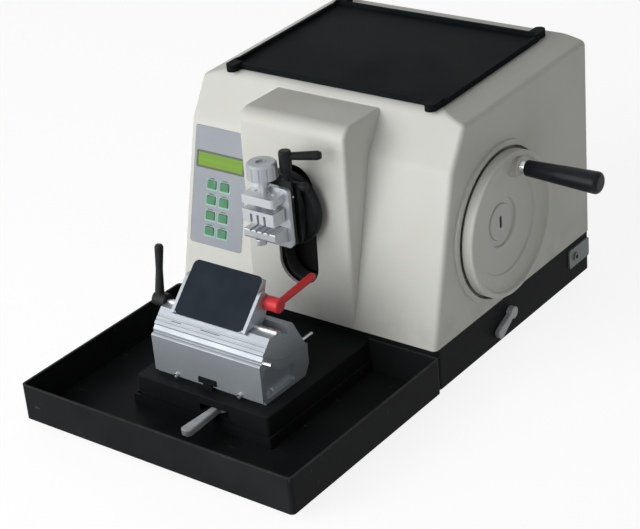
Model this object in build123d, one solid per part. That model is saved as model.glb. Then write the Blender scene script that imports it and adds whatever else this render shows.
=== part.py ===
from build123d import *
import os
from math import cos, radians, sin, sqrt, tan

# Rotary microtome. X runs across the machine, +Y to its rear and +Z up.
# Inside this file y = 0 is the foot of the casing's front and z = 0 is the bench.
# placed() shifts every piece, so that the origin is the middle of the footprint.

# ---------------------------------------------------------------- driving sizes, mm
# base
foot_height = 10
foot_radius = 14
chassis_height = 50
base_width = 360
base_depth = 337
chassis_wall = 9
chassis_floor = 8
chassis_corner = 9
tongue_width = 184
tongue_reach = 184
tongue_height = 41
tray_ledge = 12
tray_ledge_thickness = 2
# casing
case_wall = 4
lean_height = 190
lean_angle = 14.6
brow_angle = 32
front_height = 244
top_slope = 1.66
lean_radius = 30
crown_radius = 14
rear_radius = 16
shoulder_width = 32
shoulder_drop = 10
section_lift = 0.2
case_edge_radius = 6
bulge_width = 144
bulge_height = 236
bulge_lean = 8
bulge_radius = 16
bulge_edge_radius = 4
slot_width = 54
slot_bottom = 38
slot_top = 184
liner_wall = 2.5
liner_depth = 26
# control panel
panel_width = 77
panel_foot = 49
panel_head = 184
panel_middle = 133
panel_thickness = 2
display_width = 71
display_height = 20
display_border = 2.2
display_middle = 146
key_width = 12.8
key_height = 9.8
key_column_gap = 19
key_row_gap = 18.5
key_top_row = 119
key_middle = 134
key_proud = 1
key_travel = 0.8
key_flange = 0.9
# tray on the top
top_tray_width = 288
top_tray_depth = 211
top_tray_front = 88
top_tray_height = 7
top_tray_floor = 2.4
top_tray_rim = 3.2
top_tray_tab = 14
top_tray_corner = 9
# waste tray
waste_width = 371
waste_reach = 267.6
waste_height = 43
waste_sheet = 2.5
waste_inner_height = 16
waste_corner = 5
# drive
wheel_y = 138.4
wheel_z = 156.7
wheel_radius = 84
wheel_front = 197
wheel_pan_depth = 8
wheel_ring_width = 6
wheel_ring_height = 3.4
shaft_radius = 10
crank_radius = 65
crank_angle = 20
crank_boss_radius = 13
crank_pin_radius = 4
collar_radius = 8
collar_length = 5
grip_length = 91
grip_root_radius = 9
grip_end_radius = 12.5
stroke = 60
crank_disc_radius = 42
crank_disc_thickness = 10
yoke_thickness = 10
block_size = 18
bearing_radius = 19
bearing_width = 12
# carriage and arm
arm_z = 199
arm_radius = 22
arm_length = 136
arm_disc_radius = 44
arm_disc_thickness = 9
arm_disc_front = 13
carriage_front = 36
carriage_depth = 68
carriage_half = 31
curtain_thickness = 2
curtain_width = 80
curtain_below = 100
nut_radius = 12
nut_length = 12
screw_radius = 5
motor_size = 42
motor_length = 40
motor_gap = 46
# orientation head
tilt_centre = 74
tilt_radius = 60
seat_half_height = 30
seat_half_width = 20
x_block_front = 24
swivel_radius = 52
z_block_front = 33
head_half_width = 29
head_half_height = 31
z_block_half_height = 29.5
lug_left = 5
lug_right = 28
lug_back = -26.8
lug_top = 245
# specimen clamp
clamp_plate = 5.5
clamp_plate_bottom = 167
clamp_plate_top = 237
clamp_half_width = 27
jaw_half_width = 21.5
jaw_front = 60
lower_jaw_top = 191
lower_jaw_height = 13
mouth = 9
moving_jaw_height = 15
bridge_bottom = 222
bridge_height = 10
clamp_screw_y = 45
clamp_screw_radius = 4
guide_pin_radius = 2.5
guide_pin_x = 13
knob_radius = 17
knob_neck_radius = 6
knob_neck_bottom = 240
knob_neck_top = 246
knob_bottom = 250
knob_top = 268
flute_radius = 1.6
# levers on the head
clamp_lever_x = 21
clamp_lever_y = -29.9
clamp_lever_pin = 2
clamp_lever_hub = 7
clamp_lever_height = 34
clamp_lever_length = 39.5
clamp_lever_angle = 30
tilt_lock_pin = 1.8
tilt_lock_y = -22.2
tilt_lock_above = 37.5
ear_radius = 4
ear_left = 22
ear_right = 32
# knife holder
holder_half_width = 75
holder_front = 169
holder_face_height = 47
holder_rear = 88
holder_undercut = 4
holder_screw_x = 44
holder_screw_height = 5
edge_y = -106
edge_z = 166
cradle_radius = 80.3
rail_stem_width = 12
rail_head_width = 24
rail_stem_height = 7
rail_head_height = 6
rail_front = -171
rail_length = 111
slope_length = 19.9
slope_start_angle = 225.5
segment_end_angle = 281.5
seat_rear = -109
channel_front = -129
channel_rear = -117
channel_depth = 10
lever_shaft_radius = 2.6
lever_shaft_y = -136
lever_shaft_above = 0.4
plate_left = -52
plate_right = 42
plate_start = 16
plate_end = 80
plate_thickness = 4
plate_gap = 0.8
plate_corner = 7
cheek_width = 4
side_lever_length = 63
side_lever_hub = 8
side_lever_tilt = 9
blade_lever_length = 66
blade_lever_radius = 4.5
index_pin_radius = 2.5
index_pin_proud = 11
segment_pin_radius = 1.8
plate_pin_radius = 1.5
clamp_shaft_radius = 4
segment_pin_x = 71
segment_pin_z = 92
segment_pin_proud = 17
# locks on the base
lock_x = 18
lock_y = -172
lock_z = 37
lock_thickness = 8
lock_hub_radius = 8
lock_pin_radius = 3
lock_slot_half = 20
lock_length = 62
wheel_lock_y = 150
wheel_lock_z = 38
wheel_lock_pin_radius = 4
wheel_lock_length = 36
wheel_lock_droop = 28
# sockets
jack_plate_length = 46
jack_plate_height = 24
jack_plate_z = 41
jack_radius = 5
inlet_x = -120
inlet_z = 36
inlet_width = 27
inlet_height = 19
inlet_depth = 18
rocker_x = -78
rocker_width = 20
rocker_height = 13
rocker_axis_depth = 4
trunnion_radius = 1.5
# inner frame
housing_length = 76
frame_plate = 12
column_thickness = 13
column_top = 262
rail_thickness = 12
rail_bar_width = 10
groove_depth = 3
board_front = 60
board_back = 190
board_margin = 18
board_standoff = 6
board_thickness = 1.6
# clearances
slide_gap = 0.3
running = 0.05

# ---------------------------------------------------------------- worked out from them
half = base_width / 2
case_z = foot_height + chassis_height
tongue_top = foot_height + tongue_height
brow_y = lean_height * tan(radians(lean_angle))
crown_y = brow_y + (front_height - lean_height) * tan(radians(brow_angle))
rear_height = front_height + (base_depth - crown_y) * tan(radians(top_slope))
collar_front = wheel_front + 1 + collar_length
machine_right = collar_front + slide_gap + grip_length
machine_left = -waste_width / 2
machine_front = -waste_reach
origin_shift = (-(machine_left + machine_right) / 2, -(machine_front + base_depth) / 2, 0)
pin_z = wheel_z + stroke / 2
carriage_back = carriage_front + carriage_depth
slope_y = edge_y + (cradle_radius - slide_gap) * cos(radians(slope_start_angle))
slope_z = edge_z + (cradle_radius - slide_gap) * sin(radians(slope_start_angle))
seat_z = slope_z + slope_length / sqrt(2)
lever_shaft_z = seat_z + lever_shaft_above
tilt_lock_z = arm_z + tilt_lock_above
curtain_above = case_z + bulge_height - case_wall - 8 - arm_z
blade_lever_left = plate_right + slide_gap + cheek_width + slide_gap
panel_height = (panel_head - panel_foot) / cos(radians(lean_angle))
pocket_depth = panel_thickness + 0.2
socket_back = base_depth - 6
crank_disc_left = carriage_half + yoke_thickness + 3
shaft_left = crank_disc_left + crank_disc_thickness - 6
housing_left = crank_disc_left + crank_disc_thickness + 10
housing_right = housing_left + housing_length
frame_floor = foot_height + chassis_floor
column_face = -carriage_half - 19


# ---------------------------------------------------------------- helpers
def placed(piece):
    return Pos(*origin_shift) * piece


def yz_face(points, radii=0, x=0):
    """A closed outline of (y, z) points with rounded corners, facing +X."""
    outline = FilletPolyline(*[(y, z) for y, z in points], radius=radii, close=True)
    return make_face(Plane.YZ.offset(x) * outline)


def yz_prism(points, x_from, x_to, radii=0):
    return extrude(yz_face(points, radii, x_from), amount=x_to - x_from, dir=(1, 0, 0))


def block(x, y, z):
    """A block from three (low, high) pairs."""
    size = [high - low for low, high in (x, y, z)]
    middle = [(high + low) / 2 for low, high in (x, y, z)]
    return Pos(*middle) * Box(*size)


def rounded_block(x, y, z, radius):
    """A block with its upright edges rounded."""
    plan = Rectangle(x[1] - x[0], y[1] - y[0])
    plan = fillet(plan.vertices(), radius)
    middle = Pos((x[0] + x[1]) / 2, (y[0] + y[1]) / 2, z[0])
    return extrude(middle * plan, amount=z[1] - z[0])


def rod_x(radius, x, y, z):
    return Pos((x[0] + x[1]) / 2, y, z) * Rot(0, 90, 0) * Cylinder(radius, x[1] - x[0])


def rod_y(radius, x, y, z):
    return Pos(x, (y[0] + y[1]) / 2, z) * Rot(90, 0, 0) * Cylinder(radius, y[1] - y[0])


def rod_z(radius, x, y, z):
    return Pos(x, y, (z[0] + z[1]) / 2) * Cylinder(radius, z[1] - z[0])


def turned_x(points, y, z, radii=0):
    """A turned piece about an X axis; points are (x, radius)."""
    outline = FilletPolyline(*points, radius=radii, close=True)
    return Pos(0, y, z) * revolve(make_face(outline), axis=Axis.X)


def turned_z(points, x, y, radii=0):
    """A turned piece about a Z axis; points are (radius, z)."""
    outline = FilletPolyline(*points, radius=radii, close=True)
    return Pos(x, y, 0) * revolve(make_face(Plane.XZ * outline), axis=Axis.Z)


def slope_point(along, above):
    """A (y, z) point from the segment's 45 degree front face."""
    return (slope_y + (along - above) / sqrt(2), slope_z + (along + above) / sqrt(2))


# ---------------------------------------------------------------- base
def make_chassis():
    body = rounded_block((-half, half), (0, base_depth), (foot_height, case_z), chassis_corner)
    body -= rounded_block(
        (-half + chassis_wall, half - chassis_wall),
        (chassis_wall, base_depth - chassis_wall),
        (foot_height + chassis_floor, case_z + 1),
        chassis_corner / 2,
    )
    tongue = block((-tongue_width / 2, tongue_width / 2), (-tongue_reach, 1), (foot_height, tongue_top))
    tongue = fillet(tongue.edges().filter_by(Axis.Z).group_by(Axis.Y)[0], 4)
    tongue = chamfer(tongue.faces().sort_by(Axis.Z)[-1].edges().sort_by(Axis.Y)[0], 1)
    ledge = block(
        (-tongue_width / 2 - tray_ledge, tongue_width / 2 + tray_ledge),
        (-tongue_reach + 6, 1),
        (foot_height, foot_height + tray_ledge_thickness),
    )
    ledge -= block(
        (-tongue_width / 2 + 1, tongue_width / 2 - 1),
        (-tongue_reach, 0),
        (foot_height - 1, foot_height + tray_ledge_thickness + 1),
    )
    body = body + tongue + ledge
    # slot and pin of the holder's lock lever
    slot_z = (lock_z - lock_thickness / 2 - slide_gap, lock_z + lock_thickness / 2 + slide_gap)
    slot_y = (-tongue_reach - 1, lock_y + lock_hub_radius + 2)
    body -= block((lock_x - lock_slot_half, lock_x + lock_slot_half), slot_y, slot_z)
    body += rod_z(lock_pin_radius, lock_x, lock_y, slot_z)
    # openings in the rear wall, and the wheel lock's bore in the right one
    body -= rear_hole(inlet_x, inlet_width, inlet_height)
    body -= rear_hole(rocker_x, rocker_width, rocker_height)
    wall = (half - chassis_wall - 1, half + 1)
    return body - rod_x(wheel_lock_pin_radius + running, wall, wheel_lock_y, wheel_lock_z)


def rear_hole(x, width, height):
    return block(
        (x - width / 2 - slide_gap, x + width / 2 + slide_gap),
        (base_depth - chassis_wall - 1, base_depth + 1),
        (inlet_z - height / 2 - slide_gap, inlet_z + height / 2 + slide_gap),
    )


def make_feet():
    profile = [(0, 0), (foot_radius - 2, 0), (foot_radius, foot_height), (0, foot_height)]
    foot = turned_z(profile, 0, 0)
    places = [(side * (half - 30), y) for side in (-1, 1) for y in (30, base_depth - 30)]
    places += [(side * (tongue_width / 2 - 20), -tongue_reach + 16) for side in (-1, 1)]
    return Compound([Pos(x, y, 0) * foot for x, y in places])


def make_socket_plate():
    """Grey plate low on the right side, with one round jack."""
    y = (socket_back - jack_plate_length, socket_back)
    z = (jack_plate_z - jack_plate_height / 2, jack_plate_z + jack_plate_height / 2)
    plate = fillet(block((half, half + 2), y, z).edges().filter_by(Axis.X), 3)
    jack_y = y[0] + 14
    plate += rod_x(jack_radius, (half + 2, half + 4), jack_y, jack_plate_z)
    return plate - rod_x(jack_radius - 2.2, (half + 1, half + 5), jack_y, jack_plate_z)


def make_t_rail():
    stem = rail_stem_width / 2
    head = rail_head_width / 2
    mid = tongue_top + rail_stem_height
    top = mid + rail_head_height
    outline = [
        (-stem, tongue_top), (stem, tongue_top), (stem, mid), (head, mid),
        (head, top), (-head, top), (-head, mid), (-stem, mid),
    ]
    face = make_face(Plane.XZ * Polyline(*outline, close=True))
    return Pos(0, rail_front, 0) * extrude(face, amount=rail_length, dir=(0, 1, 0))


def make_waste_tray():
    low = foot_height + tray_ledge_thickness + slide_gap
    top = low + waste_height
    side = waste_width / 2
    sheet = waste_sheet
    tray = rounded_block((-side, side), (-waste_reach, -1), (low, top), waste_corner)
    tray -= rounded_block(
        (-side + sheet, side - sheet), (-waste_reach + sheet, -1 - sheet), (low + sheet, top + 1),
        waste_corner - sheet + 1)
    # low wall round the tongue, then the gap for the tongue
    reach = tongue_width / 2 + 1
    front = -tongue_reach - 1
    tray += block((-reach - sheet, reach + sheet), (front - sheet, -1), (low, low + waste_inner_height))
    return tray - block((-reach, reach), (front, 1), (low - 1, top + 1))


# ---------------------------------------------------------------- casing
def side_outline(bottom):
    run = tan(radians(lean_angle))
    return [
        (bottom * run, bottom),
        (brow_y, lean_height),
        (crown_y, front_height),
        (base_depth, rear_height),
        (base_depth, bottom),
    ]


def casing_form(bottom, inset):
    """The casing's outer form, or its hollow when inset is the wall."""
    face = yz_face(side_outline(bottom), [0, lean_radius, crown_radius, rear_radius, 0], -half)
    if inset:
        face = offset(face, amount=-inset, kind=Kind.INTERSECTION)
    side = extrude(face, amount=base_width, dir=(1, 0, 0))
    # cross section, swept to the rear along the slope of the top; its crest clears the side form's
    rise = tan(radians(top_slope))
    start = -5
    crest = front_height - (crown_y - start) * rise + section_lift
    brow = crest - shoulder_drop
    shoulder = half - shoulder_width
    outline = [
        (-half, bottom - 30), (half, bottom - 30), (half, brow),
        (shoulder, crest), (-shoulder, crest), (-half, brow),
    ]
    section = FilletPolyline(*outline, radius=[0, 0, 7, 30, 30, 7], close=True)
    face = make_face(Plane.XZ.offset(-start) * section)
    if inset:
        face = offset(face, amount=-inset, kind=Kind.INTERSECTION)
    form = side & extrude(face, amount=base_depth + 20, dir=(0, 1, rise))
    return form if inset else fillet(form.edges().filter_by(is_front_corner), case_edge_radius)


def is_front_corner(edge):
    """Edges up the casing's front corners, where its sides meet the leaning front."""
    middle = edge.center()
    on_side = abs(abs(middle.X) - half) < 1
    return on_side and 5 < middle.Z < front_height - 14 and middle.Y < crown_y + 20


def bulge_form(bottom, inset):
    run = bulge_lean / bulge_height
    back = crown_y + 30
    outline = [(bottom * run, bottom), (bulge_lean, bulge_height), (back, bulge_height), (back, bottom)]
    reach = bulge_width / 2 - inset
    face = yz_face(outline, [0, bulge_radius, 0, 0], -reach)
    if inset:
        face = offset(face, amount=-inset, kind=Kind.INTERSECTION)
    form = extrude(face, amount=2 * reach, dir=(1, 0, 0))
    return form if inset else fillet(form.edges().filter_by(is_bulge_corner), bulge_edge_radius)


def is_bulge_corner(edge):
    middle = edge.center()
    return edge.geom_type == GeomType.LINE and abs(middle.Y) < bulge_lean + 2 and abs(middle.X) > 1


def slot_form(grow, y_from, y_to):
    """The tall round-ended slot, grown or shrunk all round."""
    length = slot_top - slot_bottom + 2 * grow
    shape = SlotOverall(length, slot_width + 2 * grow, rotation=90)
    middle = case_z + (slot_top + slot_bottom) / 2
    return extrude(Plane.XZ.offset(-y_to) * Pos(0, middle) * shape, amount=y_to - y_from)


def panel_plane():
    a = radians(lean_angle)
    middle = (panel_foot + panel_head) / 2
    origin = (-panel_middle, middle * tan(a), case_z + middle)
    return Plane(origin=origin, x_dir=(1, 0, 0), z_dir=(0, -cos(a), sin(a)))


def on_panel(height):
    """Distance up the panel of a height above the casing's foot."""
    return (height - (panel_foot + panel_head) / 2) / cos(radians(lean_angle))


def panel_block(width, height, x, up, low, high, radius=1):
    shape = Rectangle(width, height)
    shape = fillet(shape.vertices(), radius)
    return extrude(panel_plane() * Pos(x, up, low) * shape, amount=high - low)


def key_places():
    first = panel_middle - key_middle
    return [
        (first - key_column_gap / 2 + column * key_column_gap, on_panel(key_top_row) - row * key_row_gap)
        for row in range(4)
        for column in range(2)
    ]


def make_casing():
    shell = Pos(0, 0, case_z) * (casing_form(0, 0) + bulge_form(0, 0))
    shell -= Pos(0, 0, case_z) * (casing_form(-20, case_wall) + bulge_form(-20, case_wall))
    shell -= slot_form(0, -5, liner_depth)
    # round pan for the handwheel, with a raised ring outside
    ring_radius = wheel_radius + 3.3
    pan_floor = half - wheel_pan_depth
    shell += rod_x(ring_radius + case_wall, (pan_floor - case_wall, half - 1), wheel_y, wheel_z)
    shell += rod_x(ring_radius + wheel_ring_width, (half - 1, half + wheel_ring_height), wheel_y, wheel_z)
    shell -= rod_x(ring_radius, (pan_floor, half + wheel_ring_height + 1), wheel_y, wheel_z)
    shell -= rod_x(shaft_radius + 3, (pan_floor - case_wall - 1, half), wheel_y, wheel_z)
    # pocket and key holes for the control panel
    shell -= panel_block(panel_width + 0.6, panel_height + 0.6, 0, 0, -pocket_depth, 8, 3.3)
    for x, up in key_places():
        shell -= panel_block(key_width + 0.8, key_height + 0.8, x, up, -case_wall - 2, 0, 1.4)
    return shell


def make_slot_liner():
    outer = slot_form(-slide_gap, 11, liner_depth)
    flange = slot_form(5, 12.5, 14.5)
    return outer + flange - slot_form(-slide_gap - liner_wall, -5, liner_depth + 1)


def make_control_panel():
    plate = panel_block(panel_width, panel_height, 0, 0, -panel_thickness, 0, 3)
    pocket = panel_block(
        display_width + 0.4, display_height + 0.4,
        0, on_panel(display_middle), -panel_thickness + 0.8, 1, 1.2)
    plate -= pocket
    for x, up in key_places():
        plate -= panel_block(key_width + 0.8, key_height + 0.8, x, up, -panel_thickness - 1, 1, 1.4)
    return plate


def make_display_frame():
    up = on_panel(display_middle)
    low = -panel_thickness + 0.8
    frame = panel_block(display_width, display_height, 0, up, low, 0.5)
    inner_width = display_width - 2 * display_border
    inner_height = display_height - 2 * display_border
    return frame - panel_block(inner_width, inner_height, 0, up, low - 1, 1, 0.5)


def make_display_glass():
    inner_width = display_width - 2 * display_border - 0.2
    inner_height = display_height - 2 * display_border - 0.2
    return panel_block(
        inner_width, inner_height, 0, on_panel(display_middle), -panel_thickness + 0.8, 0.1, 0.4)


def make_key(x, up):
    low = -case_wall - slide_gap - key_flange
    cap = panel_block(key_width, key_height, x, up, low, key_proud, 1.2)
    flange = panel_block(key_width + 2.6, key_height + 2.6, x, up, low, low + key_flange, 1.2)
    return cap + flange


def make_key_board():
    top = -case_wall - slide_gap - key_flange - key_travel - slide_gap
    middle_up = on_panel(key_top_row) - 1.5 * key_row_gap
    width = key_column_gap + key_width + 22
    height = 3 * key_row_gap + key_height + 12
    x_middle = panel_middle - key_middle
    board = panel_block(width, height, x_middle, middle_up, top - 1.6, top, 2)
    # posts to the casing's inner face
    for side in (-1, 1):
        for end in (-1, 1):
            x = x_middle + side * (width / 2 - 4)
            up = middle_up + end * (height / 2 - 3)
            board += panel_plane() * Pos(x, up, (top - case_wall) / 2) * Cylinder(2, -case_wall - top)
    return board


def make_top_tray():
    """Tray on the sloping top, with a rounded tab at each corner."""
    slope = radians(top_slope)
    level = case_z + front_height + (top_tray_front - crown_y) * tan(slope) + slide_gap
    plane = Plane(origin=(0, top_tray_front, level), x_dir=(1, 0, 0), z_dir=(0, -sin(slope), cos(slope)))
    middle = top_tray_depth / 2
    width, depth = top_tray_width - 2 * top_tray_rim, top_tray_depth - 2 * top_tray_rim
    plan = fillet(Rectangle(top_tray_width, top_tray_depth).vertices(), top_tray_corner)
    floor = fillet(Rectangle(width, depth).vertices(), top_tray_corner - top_tray_rim)
    tray = extrude(plan, amount=top_tray_height)
    tab = SlotOverall(2 * top_tray_tab, top_tray_tab, rotation=90)
    for side in (-1, 1):
        for end in (-1, 1):
            spot = Pos(side * (top_tray_width / 2 - top_tray_tab / 2 - 1), end * middle)
            tray += extrude(spot * tab, amount=top_tray_height + 1.5)
    tray -= Pos(0, 0, top_tray_floor) * extrude(floor, amount=top_tray_height + 10)
    return plane * Pos(0, middle, 0) * tray


# ---------------------------------------------------------------- handwheel and drive
def make_handwheel():
    pan_floor = half - wheel_pan_depth
    front = wheel_front
    rim = wheel_radius
    outline = [
        (pan_floor + 1.5, shaft_radius + running), (pan_floor + 1.5, 24), (pan_floor + 3.5, 27),
        (pan_floor + 9, 60), (pan_floor + 12, rim - 10), (pan_floor + 11, rim - 6), (pan_floor + 11, rim),
        (front, rim), (front, rim - 6), (front - 4, rim - 7.5), (front - 6, rim - 10),
        (front - 8.5, 60), (front - 10.5, 59), (front - 14, 29), (front - 17, 28),
        (front - 17.5, 21.5), (front - 20, 21.5), (front - 20, shaft_radius + running),
    ]
    radii = [0, 0, 0, 0, 0, 0, 2, 3, 1, 1, 0, 0, 0, 1, 0, 0, 0, 0]
    wheel = turned_x(outline, wheel_y, wheel_z, radii)
    y, z = crank_place()
    boss = rod_x(crank_boss_radius, (front - 13, front + 1), y, z)
    boss = fillet(boss.edges().sort_by(Axis.X)[-1], 1.5)
    wheel += boss
    return wheel - rod_x(crank_pin_radius + running, (front - 11, front + 2), y, z)


def crank_place():
    a = radians(crank_angle)
    return wheel_y + crank_radius * sin(a), wheel_z + crank_radius * cos(a)


def make_hub_cap():
    low = wheel_front - 20 + 1
    cap = rod_x(21, (low, low + 3), wheel_y, wheel_z)
    cap = fillet(cap.edges().sort_by(Axis.X)[-1], 1)
    slot = SlotOverall(15, 5, rotation=90)
    cut = extrude(Plane.YZ.offset(low + 1.5) * Pos(wheel_y, wheel_z) * slot, amount=5)
    return cap - cut


def make_crank_pin():
    y, z = crank_place()
    low = wheel_front + 1
    pin = rod_x(crank_pin_radius, (wheel_front - 10, collar_front + grip_length - 9), y, z)
    outline = [(low, 0), (low, collar_radius), (collar_front, collar_radius - 1), (collar_front, 0)]
    return pin + turned_x(outline, y, z)


def make_crank_grip():
    y, z = crank_place()
    low = collar_front + slide_gap
    high = low + grip_length
    bore = crank_pin_radius + running
    outline = [
        (low, bore), (low, grip_root_radius), (high - 6, grip_end_radius), (high, grip_end_radius),
        (high, 0), (high - 9, 0), (high - 9, bore),
    ]
    grip = turned_x(outline, y, z, [0, 1.5, 20, 5, 0, 0, 0])
    return grip


def make_main_shaft():
    return rod_x(shaft_radius, (shaft_left, wheel_front - 20), wheel_y, wheel_z)


def make_crank_disc():
    face = crank_disc_left + crank_disc_thickness
    disc = rod_x(crank_disc_radius, (crank_disc_left, face), wheel_y, wheel_z)
    disc += rod_x(18, (face, face + 6), wheel_y, wheel_z)
    disc -= rod_x(shaft_radius + running, (shaft_left - running, face + 30), wheel_y, wheel_z)
    # three lightening holes, the crank pin in place of the fourth
    for angle in (90, 180, 270):
        y = wheel_y + 28 * sin(radians(angle))
        z = wheel_z + 28 * cos(radians(angle))
        disc -= rod_x(9, (crank_disc_left - 1, face + 20), y, z)
    pin_x = (carriage_half + yoke_thickness + 0.5, crank_disc_left)
    return disc + rod_x(crank_pin_radius + 1, pin_x, wheel_y, pin_z)


def make_bearings():
    rings = []
    for x in bearing_places():
        ring = rod_x(bearing_radius, (x, x + bearing_width), wheel_y, wheel_z)
        ring -= rod_x(shaft_radius + running, (x - 1, x + bearing_width + 1), wheel_y, wheel_z)
        rings.append(ring)
    return Compound(rings)


def bearing_places():
    return (housing_left, housing_left + housing_length - bearing_width)


def make_inner_frame():
    """Casting with the vertical rails' column and the main shaft's housing."""
    front, back = carriage_front - 4, carriage_back
    side = column_face - column_thickness
    plate = block((side, housing_right), (front, wheel_y + 60), (frame_floor, frame_floor + frame_plate))
    outline = [
        (front, frame_floor), (front, column_top), (back + 4, column_top),
        (back + 24, 120), (back + 60, frame_floor),
    ]
    column = yz_prism(outline, side, column_face, [0, 6, 6, 60, 0])
    foot, neck = 50, 22
    flare = yz_prism(
        [(wheel_y - foot, frame_floor), (wheel_y - neck, wheel_z), (wheel_y + neck, wheel_z),
         (wheel_y + foot, frame_floor)],
        housing_left + 8, housing_right - 8)
    boss = rod_x(bearing_radius + 9, (housing_left, housing_right), wheel_y, wheel_z)
    frame = plate + column + flare + boss
    frame -= rod_x(shaft_radius + 4, (housing_left - 1, housing_right + 1), wheel_y, wheel_z)
    for x in bearing_places():
        frame -= rod_x(bearing_radius + running, (x - running, x + bearing_width + running), wheel_y, wheel_z)
    return frame


def rail_bar(x, y, z, groove_y, inward):
    """A guide rail with a V groove along one side; inward is the groove's sense in Y."""
    middle = (x[0] + x[1]) / 2
    point = groove_y + inward * groove_depth
    outline = Polyline(
        (middle - groove_depth, groove_y), (middle, point), (middle + groove_depth, groove_y), close=True)
    cut = extrude(make_face(outline), amount=z[1] - z[0] + 2, dir=(0, 0, 1))
    return block(x, y, z) - Pos(0, 0, z[0] - 1) * cut


def make_column_rails():
    z = (arm_z - stroke - carriage_half - 6, column_top - 4)
    x = (column_face, column_face + rail_thickness)
    front = (carriage_front + 4, carriage_front + 4 + rail_bar_width)
    back = (carriage_back - 4 - rail_bar_width, carriage_back - 4)
    return Compound([rail_bar(x, front, z, front[1], -1), rail_bar(x, back, z, back[0], 1)])


def make_carriage_rails():
    z = (arm_z - carriage_half, arm_z + carriage_half)
    x = (column_face + 2, -carriage_half)
    front = (carriage_front + 6 + rail_bar_width, carriage_front + 6 + 2 * rail_bar_width)
    back = (carriage_back - 6 - 2 * rail_bar_width, carriage_back - 6 - rail_bar_width)
    return Compound([rail_bar(x, front, z, front[0], 1), rail_bar(x, back, z, back[1], -1)])


def make_carriage():
    """Square sleeve round the specimen arm, with the crank's horizontal yoke on its right."""
    y = (carriage_front, carriage_back)
    sleeve = block((-carriage_half, carriage_half), y, (arm_z - carriage_half, arm_z + carriage_half))
    sleeve = fillet(sleeve.edges().filter_by(Axis.Y), 5)
    reach = stroke / 2 + block_size / 2
    top, bottom = pin_z + block_size / 2 + 7, pin_z - block_size / 2 - 7
    x = (carriage_half - 2, carriage_half + yoke_thickness)
    yoke = block(x, (carriage_back - 14, wheel_y + reach + 8), (bottom, top))
    yoke = fillet(yoke.edges().filter_by(Axis.X).group_by(Axis.Y)[-1], 5)
    body = sleeve + yoke
    body -= block(
        (carriage_half - 10, carriage_half + yoke_thickness + 1),
        (wheel_y - reach - slide_gap, wheel_y + reach + slide_gap),
        (pin_z - block_size / 2 - slide_gap, pin_z + block_size / 2 + slide_gap),
    )
    behind = (carriage_back + 0.01, wheel_y + 100)
    body -= block((carriage_half - 10, carriage_half), behind, (bottom - 1, top + 1))
    return body - rod_y(arm_radius + running, 0, (carriage_front - 1, carriage_back + 1), arm_z)


def make_slide_block():
    x = (carriage_half, carriage_half + yoke_thickness)
    half = block_size / 2
    body = block(x, (wheel_y - half, wheel_y + half), (pin_z - half, pin_z + half))
    return body - rod_x(crank_pin_radius + 1 + running, (x[0] - 1, x[1] + 1), wheel_y, pin_z)


def make_dust_curtain():
    x = curtain_width / 2
    y = (carriage_front - curtain_thickness, carriage_front)
    sheet = block((-x, x), y, (arm_z - curtain_below, arm_z + curtain_above))
    return sheet - rod_y(arm_radius + 0.5, 0, (y[0] - 1, y[1] + 1), arm_z)


def make_motor_bracket():
    back = carriage_back + motor_gap
    size = carriage_half - 1
    plate = block((-size, size), (back, back + 6), (arm_z - size, arm_z + size))
    plate = fillet(plate.edges().filter_by(Axis.Y), 4)
    for x in (-1, 1):
        for z in (-1, 1):
            plate += rod_y(3, x * (size - 4), (carriage_back, back), arm_z + z * (size - 4))
    return plate - rod_y(screw_radius + running, 0, (back - 1, back + 7), arm_z)


def make_feed_motor():
    front = carriage_back + motor_gap + 6
    side = motor_size / 2
    body = block((-side, side), (front, front + motor_length), (arm_z - side, arm_z + side))
    body = chamfer(body.edges().filter_by(Axis.Y), 4)
    return body - rod_y(screw_radius + running, 0, (front - 1, front + 12), arm_z)


def make_feed_screw():
    front = carriage_back + 8
    back = carriage_back + motor_gap + 6 + 10
    screw = rod_y(screw_radius, 0, (front, back), arm_z)
    end = carriage_back + motor_gap
    collar = rod_y(screw_radius + 4, 0, (end - 5, end - slide_gap), arm_z)
    return chamfer(screw.edges().sort_by(Axis.Y)[0], 1) + collar


def make_control_board():
    """Circuit board on four standoffs, left of the frame's column."""
    low = frame_floor + board_standoff
    top = low + board_thickness
    x = (-half + board_margin, column_face - column_thickness - 12)
    board = block(x, (board_front, board_back), (low, top))
    for post_x in (x[0] + 6, x[1] - 6):
        for post_y in (board_front + 6, board_back - 6):
            board += rod_z(3, post_x, post_y, (frame_floor, low))
    # a chip and a transformer
    board += block((x[0] + 22, x[0] + 52), (90, 120), (top, top + 6))
    return board + block((x[0] + 12, x[0] + 57), (135, 175), (top, top + 28))


# ---------------------------------------------------------------- specimen arm and head
def make_specimen_arm():
    front = -arm_disc_front + arm_disc_thickness
    back = front + arm_length
    disc = rod_y(arm_disc_radius, 0, (-arm_disc_front, front), arm_z)
    disc = fillet(disc.edges().sort_by(Axis.Y)[0], 5)
    body = disc + rod_y(arm_radius, 0, (front - 1, back), arm_z)
    body -= rod_y(screw_radius + 1, 0, (back - 70, back + 1), arm_z)
    body -= rod_y(nut_radius + running, 0, (back - nut_length, back + 1), arm_z)
    # seat of the tilting block: hollow about the tilt axis
    seat_front = -tilt_centre + sqrt(tilt_radius ** 2 - seat_half_height ** 2)
    z = (arm_z - seat_half_height, arm_z + seat_half_height)
    seat = block((-seat_half_width, seat_half_width), (seat_front, -12), z)
    return body + (seat - rod_x(tilt_radius + slide_gap, (-half, half), -tilt_centre, arm_z))


def make_feed_nut():
    back = -arm_disc_front + arm_disc_thickness + arm_length
    nut = rod_y(nut_radius, 0, (back - nut_length, back), arm_z)
    return nut - rod_y(screw_radius + running, 0, (back - nut_length - 1, back + 1), arm_z)


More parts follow.
